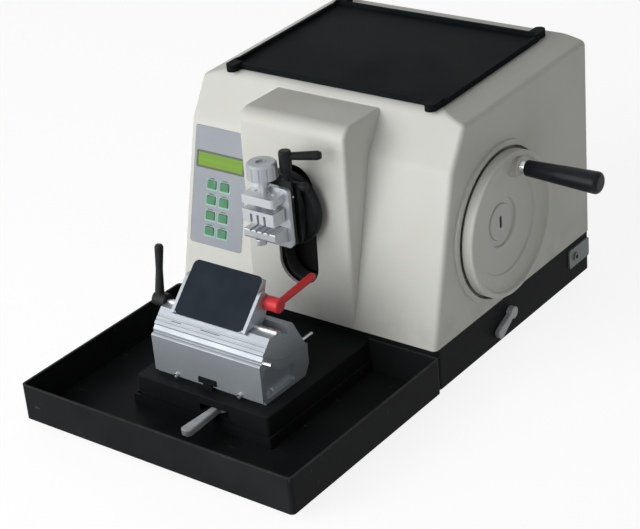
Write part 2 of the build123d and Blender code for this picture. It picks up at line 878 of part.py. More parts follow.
def make_x_tilt_block():
    """Block between two crossed cylinders: round about X at the back, hollow about Z in front."""
    z = (arm_z - head_half_height, arm_z + head_half_height)
    slab = block((-head_half_width, head_half_width), (-x_block_front, 0), z)
    slab &= rod_x(tilt_radius, (-head_half_width, head_half_width), -tilt_centre, arm_z)
    slab -= rod_z(swivel_radius + slide_gap, 0, -tilt_centre, (z[0] - 1, z[1] + 1))
    # ear for the tilt lock
    web = (tilt_lock_y - 3.3, tilt_lock_y + 3.3)
    slab += block((ear_left, head_half_width), web, (tilt_lock_z - 16, tilt_lock_z))
    slab += rod_x(ear_radius, (ear_left, ear_right), tilt_lock_y, tilt_lock_z)
    return slab - rod_x(tilt_lock_pin + running, (ear_left + 2, ear_right + 1), tilt_lock_y, tilt_lock_z)


def make_tilt_lock():
    low = ear_right + slide_gap
    outline = [(low, 0), (low, 4.4), (low + 6, 5), (low + 8.5, 4), (low + 8.5, 0)]
    knob = turned_x(outline, tilt_lock_y, tilt_lock_z, [0, 0.8, 1.5, 1.5, 0])
    return knob + rod_x(tilt_lock_pin, (ear_left + 2.3, low + 1), tilt_lock_y, tilt_lock_z)


def make_z_tilt_block():
    """Swivelling block, with a lug on top that carries the clamp lever."""
    low, high = arm_z - z_block_half_height, arm_z + z_block_half_height
    side = head_half_width - 1
    slab = block((-side, side), (-z_block_front, 0), (low, high))
    outline = Polyline(
        (lug_left, high - 1), (lug_left + 9, lug_top), (lug_right, lug_top), (lug_right, high - 1), close=True)
    lug = Pos(0, -z_block_front, 0) * extrude(
        make_face(Plane.XZ * outline), amount=z_block_front + lug_back, dir=(0, 1, 0))
    body = (slab + lug) & rod_z(swivel_radius, 0, -tilt_centre, (low, lug_top))
    return body - rod_z(clamp_lever_pin + running, clamp_lever_x, clamp_lever_y, (lug_top - 14, lug_top + 1))


def make_clamp_lever():
    """L-shaped ratchet lever: tapered hub upright, round arm to the right and back."""
    low = lug_top + slide_gap
    top = low + clamp_lever_height
    hub = turned_z(
        [(0, low), (3.5, low), (clamp_lever_hub, low + 16), (clamp_lever_hub, top), (0, top)],
        0, 0, [0, 0, 8, 2.5, 0])
    tip = clamp_lever_length
    arm = turned_x(
        [(0, 0), (0, 4.2), (tip - 4, 5.2), (tip, 3.5), (tip, 0)], 0, top - clamp_lever_hub, [0, 0, 1.5, 2, 0])
    lever = hub + Rot(0, 0, clamp_lever_angle) * arm
    lever += rod_z(clamp_lever_pin, 0, 0, (low - 13, low + 1))
    return Pos(clamp_lever_x, clamp_lever_y, 0) * lever


def make_clamp_frame():
    """Back plate with the fixed lower jaw and the bridge that guides the moving one."""
    back = (-z_block_front - clamp_plate, -z_block_front)
    plate = block((-clamp_half_width, clamp_half_width), back, (clamp_plate_bottom, clamp_plate_top))
    plate = fillet(plate.edges().filter_by(Axis.Y), 5)
    jaw_foot = lower_jaw_top - lower_jaw_height
    jaw = yz_prism(
        [(-jaw_front, jaw_foot + 3), (-jaw_front, lower_jaw_top), (back[0] + 1, lower_jaw_top),
         (back[0] + 1, jaw_foot - 4)],
        -jaw_half_width, jaw_half_width, [3, 1, 0, 0])
    span = (-jaw_half_width, jaw_half_width)
    bridge = block(span, (-jaw_front, back[0] + 1), (bridge_bottom, bridge_bottom + bridge_height))
    bridge = fillet(bridge.edges().filter_by(Axis.Z).group_by(Axis.Y)[0], 3)
    frame = plate + jaw + bridge
    z = (bridge_bottom - 1, bridge_bottom + bridge_height + 1)
    frame -= rod_z(clamp_screw_radius + running, 0, -clamp_screw_y, z)
    for side in (-1, 1):
        frame -= rod_z(guide_pin_radius + running, side * guide_pin_x, -clamp_screw_y, z)
    # grooves across the lower jaw
    for x in (-12, -4, 4, 12):
        outline = Polyline(
            (x - 2, lower_jaw_top + 0.1), (x, lower_jaw_top - 2), (x + 2, lower_jaw_top + 0.1), close=True)
        frame -= extrude(make_face(Plane.XZ * outline), amount=jaw_front + 1, dir=(0, -1, 0))
    return frame


def make_clamp_jaw():
    low = lower_jaw_top + mouth
    high = low + moving_jaw_height
    back = -z_block_front - clamp_plate - slide_gap
    jaw = block((-jaw_half_width, jaw_half_width), (-jaw_front, back), (low, high))
    jaw = fillet(jaw.edges().filter_by(Axis.Z), 1.5)
    for x in (-9, 0, 9):
        jaw -= block((x - 1.6, x + 1.6), (-jaw_front - 1, -jaw_front + 5), (low - 1, high - 4))
    pin_top = bridge_bottom + bridge_height + 1
    for side in (-1, 1):
        jaw += rod_z(guide_pin_radius, side * guide_pin_x, -clamp_screw_y, (high - 1, pin_top))
    return jaw - rod_z(clamp_screw_radius + running, 0, -clamp_screw_y, (high - 8, high + 1))


def make_clamp_knob():
    low = lower_jaw_top + mouth + moving_jaw_height - 7.5
    screw = rod_z(clamp_screw_radius, 0, -clamp_screw_y, (low, knob_neck_bottom + 1))
    knob = turned_z(
        [(0, knob_neck_bottom), (knob_neck_radius, knob_neck_bottom), (knob_neck_radius, knob_neck_top),
         (knob_radius, knob_bottom), (knob_radius, knob_top - 2), (knob_radius - 2, knob_top), (0, knob_top)],
        0, -clamp_screw_y, 0)
    knob -= rod_z(6, 0, -clamp_screw_y, (knob_top - 2, knob_top + 1))
    reach = knob_radius + 0.7
    for step in range(12):
        x, y = reach * cos(radians(30 * step)), reach * sin(radians(30 * step))
        knob -= rod_z(flute_radius, x, y - clamp_screw_y, (knob_neck_top, knob_top - 3))
    return knob + screw


# ---------------------------------------------------------------- knife holder
def make_holder_base():
    low = tongue_top + slide_gap
    face = low + holder_face_height
    front, rear = -holder_front, -holder_rear
    # front face with a stepped ledge above it, then up to the cradle
    outline = [
        (front, low), (front, face), (front + 2, face + 1.5), (front + 4.5, face + 1.5),
        (front + 4.5, face + 5), (front + 7.5, face + 9), (front + 12, face + 12),
        (rear, edge_z - 60), (rear, low + 12), (rear - 8, low),
    ]
    body = yz_prism(outline, -holder_half_width, holder_half_width, [1.5, 1, 0.5, 0.5, 0.5, 0, 0, 0, 0, 0])
    across = (-holder_half_width - 1, holder_half_width + 1)
    body -= rod_x(cradle_radius, across, edge_y, edge_z)
    body -= block(across, (front - 1, front + 4), (low - 1, low + holder_undercut))
    # T slot
    stem, head = rail_stem_width / 2 + slide_gap, rail_head_width / 2 + slide_gap
    mid = tongue_top + rail_stem_height - slide_gap
    top = tongue_top + rail_stem_height + rail_head_height + slide_gap
    body -= block((-stem, stem), (front - 1, rear + 1), (low - 1, top))
    body -= block((-head, head), (front - 1, rear + 1), (mid, top))
    # pocket in each end
    pocket = [
        (front + 7, low + 5), (front + 7, face - 4), (edge_y - 30, edge_z - cradle_radius - 5),
        (edge_y - 6, edge_z - cradle_radius - 9), (rear - 26, low + 5),
    ]
    for side in (-1, 1):
        inner, outer = sorted((side * (holder_half_width - 6), side * (holder_half_width + 1)))
        body -= yz_prism(pocket, inner, outer, 3)
    y, z = index_place()
    body -= rod_x(index_pin_radius + running, (holder_half_width - 20, holder_half_width + 1), y, z)
    for x in (-holder_screw_x, holder_screw_x):
        body -= rod_y(1.5 + running, x, (front - 1, front + 12), low + holder_screw_height)
    return body


def index_place():
    reach = cradle_radius + 5.5
    a = radians(slope_start_angle + 4)
    return edge_y + reach * cos(a), edge_z + reach * sin(a)


def make_holder_screws():
    screws = []
    front = -holder_front
    z = tongue_top + slide_gap + holder_screw_height
    for x in (-holder_screw_x, holder_screw_x):
        head = rod_y(2.8, x, (front - 3, front), z) - rod_y(1.3, x, (front - 4, front - 1.5), z)
        screws.append(head + rod_y(1.5, x, (front, front + 11), z))
    return Compound(screws)


def make_base_pin():
    y, z = index_place()
    return rod_x(index_pin_radius, (holder_half_width - 19, holder_half_width + index_pin_proud), y, z)


def make_tilt_segment():
    """Round-bottomed segment about the knife edge, with a sloping front and a flat seat on top."""
    radius = cradle_radius - slide_gap
    end = radians(segment_end_angle)
    rear_foot = (edge_y + radius * cos(end), edge_z + radius * sin(end))
    front_foot = (slope_y, slope_z)
    top = Polyline(rear_foot, (seat_rear, seat_z), slope_point(slope_length, 0), front_foot)
    arc = ThreePointArc(front_foot, (edge_y, edge_z - radius), rear_foot)
    face = make_face(Plane.YZ.offset(-holder_half_width) * (top + arc))
    body = extrude(face, amount=2 * holder_half_width, dir=(1, 0, 0))
    across = (-holder_half_width - 1, holder_half_width + 1)
    body -= block(across, (channel_front, channel_rear), (seat_z - channel_depth, seat_z + 1))
    body -= rod_x(lever_shaft_radius + running, across, lever_shaft_y, lever_shaft_z)
    for along in (5, 10):
        body -= rod_x(1.1, across, *slope_point(along, 0.4))
    pin_y = (segment_pin_root(), seat_rear + 60)
    return body - rod_y(segment_pin_radius + running, segment_pin_x, pin_y, segment_pin_z)


def segment_pin_root():
    return seat_rear + 3


def make_segment_pin():
    """Pin that stands out of the segment's rear."""
    root = segment_pin_root()
    reach = root + segment_pin_proud + 15
    return rod_y(segment_pin_radius, segment_pin_x, (root, reach), segment_pin_z)


def make_side_lever():
    """Black lever on the left: hub along X, arm upwards, and the shaft that it turns."""
    left = -holder_half_width - slide_gap
    y, z = lever_shaft_y, lever_shaft_z
    hub = rod_x(side_lever_hub, (left - 18, left), y, z)
    hub = fillet(hub.edges().sort_by(Axis.X)[0], 2)
    hub += rod_x(lever_shaft_radius, (left - 1, holder_half_width + 1), y, z)
    length = side_lever_length
    arm = turned_z(
        [(0, 0), (5.6, 0), (4, length * 0.55), (5, length - 3), (3.5, length), (0, length)],
        0, 0, [0, 0, 20, 1, 1.5, 0])
    return hub + Pos(left - 12, y, z) * Rot(-side_lever_tilt, 0, 0) * arm


def blade_shaft_place():
    return slope_point(58, -10.7)


def make_blade_carriage():
    """Knife support on the segment's seat, with a tongue in its channel and cheeks for the pressure plate."""
    gap = slide_gap
    seat = seat_z + gap
    start = slope_point(slope_length + 1, gap)
    rear = seat_rear - 3
    deep = seat_z - channel_depth + gap
    outline = [
        (start[0], seat), start, slope_point(plate_end - 1, gap), slope_point(plate_end - 1, -1.3),
        slope_point(67, -7), slope_point(63, -18), (rear, seat + 6), (rear, seat),
        (channel_rear - gap, seat), (channel_rear - gap, deep),
        (channel_front + gap, deep), (channel_front + gap, seat),
    ]
    body = yz_prism(outline, plate_left, plate_right)
    low = plate_gap - 0.1
    high = plate_gap + plate_thickness
    side = [
        slope_point(plate_start, low), slope_point(plate_start, high),
        slope_point(62, high), slope_point(66, 0), slope_point(66, -12),
        (rear - 4, seat + 8), (rear - 10, seat), (slope_point(slope_length + 1, low)[0], seat + 0.9),
    ]
    left, right = plate_left - gap - cheek_width, plate_right + gap + cheek_width
    for x in ((left, left + cheek_width), (right - cheek_width, right)):
        body += yz_prism(side, x[0], x[1], [0.5, 2, 6, 2, 3, 2, 2, 0])
    body += rod_x(4, (left + 1, right - 1), *slope_point(52, -7))
    body += rod_x(plate_pin_radius, (left, right), *plate_pivot())
    body -= rod_x(lever_shaft_radius + gap, (left - 1, right + 1), lever_shaft_y, lever_shaft_z)
    return body - rod_x(clamp_shaft_radius + running, (left - 15, right + 15), *blade_shaft_place())


def plate_pivot():
    return slope_point(plate_start + 2.6, plate_gap + plate_thickness / 2)


def make_pressure_plate():
    plane_at = slope_point(plate_start, plate_gap)
    width, length = plate_right - plate_left, plate_end - plate_start
    origin = ((plate_left + plate_right) / 2, plane_at[0], plane_at[1])
    plane = Plane(origin=origin, x_dir=(1, 0, 0), z_dir=(0, -1 / sqrt(2), 1 / sqrt(2)))
    shape = fillet(Rectangle(width, length).vertices(), plate_corner)
    plate = extrude(plane * Pos(0, length / 2) * shape, amount=plate_thickness)
    return plate - rod_x(plate_pin_radius + running, (plate_left - 1, plate_right + 1), *plate_pivot())


def make_clamp_shaft():
    return rod_x(clamp_shaft_radius, (plate_left + 2, blade_lever_left + 4), *blade_shaft_place())


def make_blade_lever():
    """Red lever: drum hub on the clamp shaft, round arm to the rear."""
    y, z = blade_shaft_place()
    left, length = blade_lever_left, blade_lever_length
    hub = rod_x(8, (left, left + 19), y, z)
    hub = chamfer(hub.edges().group_by(Axis.X)[-1], 1)
    hub -= rod_x(clamp_shaft_radius + running, (left - 1, left + 4 + running), y, z)
    arm = turned_z(
        [(0, 0), (4, 0), (blade_lever_radius, length - 3), (3, length), (0, length)], 0, 0, [0, 0, 2, 1.5, 0])
    return hub + Pos(left + 13, y, z) * Rot(-86, 0, 0) * (arm - Cylinder(6, 8))


def make_lock_lever(hub_radius, length, tip_half, thickness, bore):
    """Tapered flat lever along -Y from its hub, lying in XY; wider and rounded at its tip."""
    neck = 4
    corner = tip_half * 0.8
    outline = FilletPolyline(
        (-neck, 0), (-neck, -hub_radius), (-tip_half, -length),
        (tip_half, -length), (neck, -hub_radius), (neck, 0),
        radius=[0, 6, corner, corner, 6, 0], close=True)
    lever = extrude(make_face(outline), amount=thickness, dir=(0, 0, 1))
    lever = chamfer(lever.edges().filter_by(lambda edge: edge.center().Y < -length + 2), 1)
    lever += extrude(Circle(hub_radius), amount=thickness)
    if bore:
        lever -= Pos(0, 0, thickness / 2) * Cylinder(bore, thickness + 2)
    return lever


def make_holder_lock():
    lever = make_lock_lever(lock_hub_radius, lock_length, 7, lock_thickness, lock_pin_radius + running)
    return Pos(lock_x, lock_y, lock_z - lock_thickness / 2) * lever


def make_wheel_lock():
    lever = make_lock_lever(7, wheel_lock_length, 7, 7, 0)
    turned = Rot(wheel_lock_droop, 0, 0) * Rot(0, 90, 0)
    lever = Pos(half + slide_gap, wheel_lock_y, wheel_lock_z) * turned * lever
    pin_x = (half - chassis_wall - 3, half + slide_gap + 1)
    return lever + rod_x(wheel_lock_pin_radius, pin_x, wheel_lock_y, wheel_lock_z)


# ---------------------------------------------------------------- rear
def make_mains_inlet():
    x = (inlet_x - inlet_width / 2, inlet_x + inlet_width / 2)
    z = (inlet_z - inlet_height / 2, inlet_z + inlet_height / 2)
    body = block(x, (base_depth - inlet_depth, base_depth), z)
    cavity = block((x[0] + 2, x[1] - 2), (base_depth - 15, base_depth + 1), (z[0] + 2, z[1] - 2))
    body -= chamfer(cavity.edges().filter_by(Axis.Y).group_by(Axis.Z)[-1], 3)
    pin_y = (base_depth - 16, base_depth - 4)
    for dx, dz in ((-7, -1.5), (7, -1.5), (0, 2.5)):
        pin_x, pin_z = inlet_x + dx, inlet_z + dz
        body += block((pin_x - 1, pin_x + 1), pin_y, (pin_z - 2, pin_z + 2))
    return body


def make_power_rocker():
    """Rocker seen from above as a shallow V, on a round trunnion."""
    low, high = rocker_x - rocker_width / 2 + 0.6, rocker_x + rocker_width / 2 - 0.6
    bottom, top = inlet_z - rocker_height / 2, inlet_z + rocker_height / 2
    y = base_depth
    outline = FilletPolyline(
        (low, y - 7), (high, y - 7), (high, y - 0.4), (rocker_x, y - 2.2), (low, y - 2.6),
        radius=[1, 1, 0.5, 8, 0.5], close=True)
    rocker = Pos(0, 0, bottom + 1) * extrude(make_face(outline), amount=top - bottom - 2, dir=(0, 0, 1))
    return rocker + rod_z(trunnion_radius, rocker_x, y - rocker_axis_depth, (bottom + 0.2, top - 0.2))


# ---------------------------------------------------------------- all the nodes
def all_nodes():
    nodes = {
        "chassis": make_chassis(),
        "rubber_feet": make_feet(),
        "socket_plate": make_socket_plate(),
        "t_rail": make_t_rail(),
        "waste_tray": make_waste_tray(),
        "casing": make_casing(),
        "slot_liner": make_slot_liner(),
        "control_panel": make_control_panel(),
        "display_frame": make_display_frame(),
        "display_glass": make_display_glass(),
        "key_board": make_key_board(),
        "top_tray": make_top_tray(),
        "handwheel": make_handwheel(),
        "hub_cap": make_hub_cap(),
        "crank_pin": make_crank_pin(),
        "crank_grip": make_crank_grip(),
        "wheel_lock": make_wheel_lock(),
        "main_shaft": make_main_shaft(),
        "crank_disc": make_crank_disc(),
        "shaft_bearings": make_bearings(),
        "inner_frame": make_inner_frame(),
        "column_rails": make_column_rails(),
        "carriage": make_carriage(),
        "carriage_rails": make_carriage_rails(),
        "slide_block": make_slide_block(),
        "dust_curtain": make_dust_curtain(),
        "motor_bracket": make_motor_bracket(),
        "feed_motor": make_feed_motor(),
        "feed_screw": make_feed_screw(),
        "control_board": make_control_board(),
        "specimen_arm": make_specimen_arm(),
        "feed_nut": make_feed_nut(),
        "x_tilt_block": make_x_tilt_block(),
        "tilt_lock": make_tilt_lock(),
        "z_tilt_block": make_z_tilt_block(),
        "clamp_lever": make_clamp_lever(),
        "clamp_frame": make_clamp_frame(),
        "clamp_jaw": make_clamp_jaw(),
        "clamp_knob": make_clamp_knob(),
        "holder_base": make_holder_base(),
        "holder_screws": make_holder_screws(),
        "base_pin": make_base_pin(),
        "tilt_segment": make_tilt_segment(),
        "segment_pin": make_segment_pin(),
        "side_lever": make_side_lever(),
        "blade_carriage": make_blade_carriage(),
        "pressure_plate": make_pressure_plate(),
        "clamp_shaft": make_clamp_shaft(),
        "blade_lever": make_blade_lever(),
        "holder_lock": make_holder_lock(),
        "mains_inlet": make_mains_inlet(),
        "power_rocker": make_power_rocker(),
    }
    for number, (x, up) in enumerate(key_places(), start=1):
        nodes[f"key_{number}"] = make_key(x, up)
    return nodes


os.makedirs("parts", exist_ok=True)
for name, piece in all_nodes().items():
    export_step(placed(piece), f"parts/{name}.step")
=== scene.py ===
# %% [markdown]
# # A rotary microtome, dressed and lit
#
# A rotary microtome cuts slices of wax-embedded tissue a few thousandths of a millimetre thick.
# One turn of the handwheel carries the specimen down past a blade and back up again, and a fine
# screw inside moves it forward by one slice. The solids come ready made, each on the body that it
# moves with. This lesson gives them their finishes, adds the small pieces that only show close
# to, and sets up a camera and soft light. Everything is in metres, with +X to the handwheel.

import math

import bpy
from mathutils import Euler, Matrix, Vector


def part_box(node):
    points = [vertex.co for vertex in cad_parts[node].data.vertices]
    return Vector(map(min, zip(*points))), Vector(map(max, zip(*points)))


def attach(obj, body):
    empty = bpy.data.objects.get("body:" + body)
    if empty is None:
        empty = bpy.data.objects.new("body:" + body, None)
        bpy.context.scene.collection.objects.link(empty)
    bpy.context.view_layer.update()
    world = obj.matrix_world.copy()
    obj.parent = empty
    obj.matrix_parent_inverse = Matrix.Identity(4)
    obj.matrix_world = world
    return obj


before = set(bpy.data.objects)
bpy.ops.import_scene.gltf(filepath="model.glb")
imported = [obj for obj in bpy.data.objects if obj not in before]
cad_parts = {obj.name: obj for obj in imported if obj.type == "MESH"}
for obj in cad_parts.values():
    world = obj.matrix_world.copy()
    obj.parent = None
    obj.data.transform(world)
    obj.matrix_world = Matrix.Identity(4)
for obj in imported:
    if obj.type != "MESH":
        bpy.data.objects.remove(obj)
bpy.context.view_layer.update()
mm = 0.001


# %% [markdown]
# ## The camera
#
# A camera that stands two metres away flattens a bench instrument in the way that a product
# picture does. It is placed from four things: the point that it looks at, how far round and how
# far up it stands, and a few degrees of roll. The three axes of its own frame are worked out
# from those and become the columns of its matrix.

# %% Stand the camera at the front right
camera_azimuth = math.radians(39.01)
camera_elevation = math.radians(27.09)
camera_roll = math.radians(-5.22)
camera_distance = 2.1229
camera_lens = 102.34
look_at = Vector((-0.08506, 0.04170, 0.08093))


def aim_camera():
    around = math.cos(camera_elevation)
    back = Vector((
        math.sin(camera_azimuth) * around,
        -math.cos(camera_azimuth) * around,
        math.sin(camera_elevation),
    ))
    right = (-back).cross(Vector((0, 0, 1))).normalized()
    up = back.cross(right)
    tilted_right = right * math.cos(camera_roll) + up * math.sin(camera_roll)
    tilted_up = up * math.cos(camera_roll) - right * math.sin(camera_roll)
    turn = Matrix((tilted_right, tilted_up, back)).transposed().to_4x4()
    bpy.ops.object.camera_add()
    camera = bpy.context.object
    camera.data.lens = camera_lens
    camera.data.sensor_width = 36
    camera.data.clip_start = 0.05
    camera.matrix_world = Matrix.Translation(look_at + back * camera_distance) @ turn
    bpy.context.scene.camera = camera
    return camera


camera = aim_camera()
print("camera at", [round(c, 3) for c in camera.matrix_world.translation])


# %% [markdown]
# ## A shorthand for shader maths
#
# A finish is a small calculation on the place of each point of a surface. Written as nodes and
# links it is long and hard to read, so one class wraps an output socket and lets Python's own
# operators add the Math nodes. The reflected forms are there too, so `1 - mask` works as
# `mask * 2` does. A second class holds one material, and its `node` method makes any other node.

# %% Wrap sockets and materials
class Wire:
    """An output socket that adds Math nodes when it is used in a sum."""

    def __init__(self, finish, socket):
        self.finish = finish
        self.socket = socket

    def maths(self, operation, *numbers):
        sockets = dict(enumerate(numbers))
        return self.finish.node("ShaderNodeMath", {"operation": operation}, sockets)

    def folded(self):
        """The part after the decimal point, which repeats a pattern in every whole step."""
        return self.maths("FRACT", self)

    def size(self):
        """The distance from nought, whichever the side."""
        return self.maths("ABSOLUTE", self)

    def __add__(self, other):
        return self.maths("ADD", self, other)

    def __radd__(self, other):
        return self.maths("ADD", other, self)

    def __sub__(self, other):
        return self.maths("SUBTRACT", self, other)

    def __rsub__(self, other):
        return self.maths("SUBTRACT", other, self)

    def __mul__(self, other):
        return self.maths("MULTIPLY", self, other)

    def __rmul__(self, other):
        return self.maths("MULTIPLY", other, self)

    def __truediv__(self, other):
        return self.maths("DIVIDE", self, other)

    def __rtruediv__(self, other):
        return self.maths("DIVIDE", other, self)

    def __pow__(self, other):
        return self.maths("POWER", self, other)

    def __gt__(self, other):
        return self.maths("GREATER_THAN", self, other)

    def __lt__(self, other):
        return self.maths("LESS_THAN", self, other)


class Finish:
    """One material: a Principled shader with constants on its sockets, and what feeds it."""

    def __init__(self, name, **constants):
        self.material = bpy.data.materials.new(name)
        self.material.use_nodes = True
        self.nodes = self.material.node_tree.nodes
        self.shader = self.nodes["Principled BSDF"]
        for words, value in constants.items():
            self.set(words.replace("_", " "), value)

    def set(self, socket, value):
        """Feed a socket of the shader; its name is given in lower case."""
        named = {s.name.lower(): s for s in self.shader.inputs}
        self.feed(named[socket.lower()], value)

    def feed(self, socket, value):
        if isinstance(value, Wire):
            self.material.node_tree.links.new(value.socket, socket)
        elif socket.type == "RGBA" and len(value) == 3:
            socket.default_value = (*value, 1)
        else:
            socket.default_value = value

    def node(self, kind, settings=None, sockets=None, output=0):
        made = self.nodes.new(kind)
        for key, value in (settings or {}).items():
            setattr(made, key, value)
        for key, value in (sockets or {}).items():
            self.feed(made.inputs[key], value)
        return Wire(self, made.outputs[output])

    def place(self, stretch=(1, 1, 1)):
        """Object coordinates, with each axis stretched."""
        spot = self.node("ShaderNodeTexCoord", output=3)
        if stretch == (1, 1, 1):
            return spot
        return self.node("ShaderNodeMapping", None, {"Vector": spot, "Scale": stretch})

    def axis(self, letter):
        return self.node("ShaderNodeSeparateXYZ", None, {0: self.place()}, "XYZ".index(letter))

    def noise(self, scale, detail=2, stretch=(1, 1, 1)):
        sockets = {"Vector": self.place(stretch), "Scale": scale, "Detail": detail}
        return self.node("ShaderNodeTexNoise", None, sockets)

    def span(self, value, low, high, start=0.0, end=1.0):
        """A value's stretch from low to high, spread over start to end and held beyond them."""
        sockets = {0: value, 1: low, 2: high, 3: start, 4: end}
        return self.node("ShaderNodeMapRange", {"clamp": True}, sockets)

    def mix(self, share, first, second):
        return self.node("ShaderNodeMix", {"data_type": "RGBA"}, {0: share, 6: first, 7: second}, 2)

    def bump(self, height, depth, strength=1.0):
        sockets = {"Height": height, "Distance": depth, "Strength": strength}
        self.set("normal", self.node("ShaderNodeBump", None, sockets))


def dress(finish, *nodes):
    """Give a finish to solids, by name."""
    for name in nodes:
        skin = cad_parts[name].data.materials
        skin.clear()
        skin.append(finish.material)
    print(finish.material.name, "on", len(nodes), "solids")


# %% [markdown]
# ## The moulded casing
#
# The casing and the handwheel are off-white moulded plastic. It has a fine, even grain that
# breaks up highlights, a slow drift of tone where it has aged, and blotches that darken it
# towards its foot. Three noises of very different size make those three things. The
# grain goes to the bump, and the drift and the low darkening to both colour and roughness.

# %% Make the shell finish
shell_tone = (0.66, 0.662, 0.632)
shell_warm = (0.61, 0.605, 0.555)
shell_low_dark = (0.40, 0.39, 0.35)
slot_shade_black = (0.012, 0.012, 0.012)
hub_slot_floor = 0.0020
hub_slot_reach = 0.009
bench_z = 0.0
casing_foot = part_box("casing")[0].z


def make_shell():
    finish = Finish("moulded_shell", roughness=0.5, specular_ior_level=0.35)
    drift = finish.noise(7, 3)
    grain = finish.noise(1500, 2)
    blotch = finish.noise(45, 4)
    # darker in blotches towards the foot of the casing, fading out over its lowest five centimetres
    low_down = finish.span(finish.axis("Z"), casing_foot, casing_foot + 0.05, 1, 0)
    low_darkening = low_down * finish.span(blotch, 0.45, 0.75) * 0.35
    tone = finish.mix(finish.span(drift, 0.35, 0.7), shell_tone, shell_warm)
    finish.set("base color", finish.mix(low_darkening, tone, shell_low_dark))
    finish.set("roughness", 0.42 + drift * 0.12 + low_darkening * 0.3)
    finish.bump(grain, 0.00012, 0.35)
    return finish


def make_cap_finish():
    """The shell's plastic, with painted shade: the bottom of the wrench slot is coloured black."""
    finish = Finish("cap_plastic", roughness=0.5, specular_ior_level=0.35)
    low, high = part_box("hub_cap")
    floor = low.x + hub_slot_floor
    face = finish.span(finish.axis("X"), floor - 0.0001, floor + 0.0001)
    y, z = finish.axis("Y") - (low.y + high.y) / 2, finish.axis("Z") - (low.z + high.z) / 2
    outside = ((y * y + z * z) ** 0.5) > hub_slot_reach
    bright = 1 - (1 - face) * (1 - outside)
    # painted shade: black on the bottom of the wrench slot, the shell's tone everywhere else
    finish.set("base color", finish.mix(bright, slot_shade_black, shell_tone))
    finish.bump(finish.noise(1500, 2), 0.00012, 0.35)
    return finish


shell = make_shell()
cap = make_cap_finish()
dress(shell, "casing", "handwheel")
dress(cap, "hub_cap")


# %% [markdown]
# ## Black paint on cast and folded metal
#
# The base and the waste tray are black powder coat. Powder coat has a pebbled skin a fraction of
# a millimetre across. A tray that is wiped every day also shows pale scuffs on its floor, and a
# thin bright line along its top edge is a painted highlight. The scuffs are stretched noise
# with only its peaks kept, and the painted highlight is a narrow band in height.

# %% Make the black coats
coat_black = (0.010, 0.011, 0.012)
coat_dust = (0.026, 0.027, 0.028)
scuff_and_highlight_grey = (0.11, 0.11, 0.105)
tray_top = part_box("waste_tray")[1].z


def make_coat(name, pebble, dust_share):
    finish = Finish(name, roughness=0.45, specular_ior_level=0.03)
    skin = finish.noise(pebble, 2)
    dust = finish.span(finish.noise(9, 4), 0.42, 0.75) * dust_share
    scuffs = finish.span(finish.noise(55, 3, (1, 6, 2)), 0.69, 0.76) * 0.45
    return finish, skin, dust, scuffs


def make_base_coat():
    finish, skin, dust, scuffs = make_coat("powder_coat", 1400, 0.4)
    tone = finish.mix(dust, coat_black, coat_dust)
    finish.set("base color", finish.mix(scuffs * 0.3, tone, scuff_and_highlight_grey))
    finish.set("roughness", 0.40 + dust * 0.3 + skin * 0.1)
    finish.bump(skin, 0.0002, 0.5)
    return finish


def make_tray_coat():
    finish, skin, dust, scuffs = make_coat("tray_coat", 1100, 0.55)
    # painted highlight: a bright band just under the tray's top edge, broken up by noise, added to
    # the real scuffs
    edge_highlight = finish.span(finish.axis("Z"), tray_top - 0.0012, tray_top - 0.0004) * 0.5
    scuffs_and_highlight = (scuffs + edge_highlight * finish.noise(60, 2))
    tone = finish.mix(dust, coat_black, coat_dust)
    finish.set("base color", finish.mix(scuffs_and_highlight, tone, scuff_and_highlight_grey))
    finish.set("roughness", 0.36 + dust * 0.35)
    finish.bump(skin, 0.00018, 0.45)
    return finish


base_coat = make_base_coat()
tray_coat = make_tray_coat()
dress(base_coat, "chassis", "t_rail")
dress(tray_coat, "waste_tray")


# %% [markdown]
# ## Rubber and soft black parts
#
# The tray on top has a matt black surface that shows a faint bloom where things have stood on
# it. Rubber feet and the dust curtain are the same family, only rougher.

# %% Make the mat and rubber finishes
mat_black = (0.009, 0.011, 0.012)
mat_bloom = (0.020, 0.023, 0.026)
rubber_black = (0.012, 0.012, 0.013)


def make_mat():
    finish = Finish("mat_surface", roughness=0.5, specular_ior_level=0.012)
    bloom = finish.span(finish.noise(11, 4), 0.45, 0.8)
    finish.set("base color", finish.mix(bloom * 0.5, mat_black, mat_bloom))
    finish.set("roughness", 0.42 + bloom * 0.25)
    finish.bump(finish.noise(900, 2), 0.00025, 0.5)
    return finish


def make_rubber():
    finish = Finish("rubber", roughness=0.8, specular_ior_level=0.15)
    wear = finish.span(finish.noise(60, 3), 0.5, 0.8)
    finish.set("base color", finish.mix(wear * 0.4, rubber_black, coat_dust))
    finish.set("roughness", 0.7 + wear * 0.2)
    finish.bump(finish.noise(700, 2), 0.0003, 0.4)
    return finish


mat = make_mat()
rubber = make_rubber()
dress(mat, "top_tray")
dress(rubber, "rubber_feet", "dust_curtain")


# %% [markdown]
# ## Grip and levers
#
# The crank grip is polished black phenolic: dark, hard, with a clear coat that takes a long
# highlight. The clamp levers are the same colour with a satin moulded skin. The red lever is the
# one that holds the blade, coloured so that a hand finds it before it finds the edge. The two
# grey locks are painted castings, worn paler in patches where fingers push.

# %% Make the lever finishes
phenolic = (0.010, 0.011, 0.014)
phenolic_pale = (0.016, 0.018, 0.022)
moulded_black = (0.012, 0.014, 0.015)
moulded_worn = (0.022, 0.024, 0.024)
shaft_steel = (0.72, 0.73, 0.74)
side_hub_width = 0.0187
warning_red = (0.66, 0.026, 0.030)
faded_red = (0.55, 0.036, 0.040)
casting_grey = (0.40, 0.42, 0.43)
casting_pale = (0.58, 0.59, 0.59)


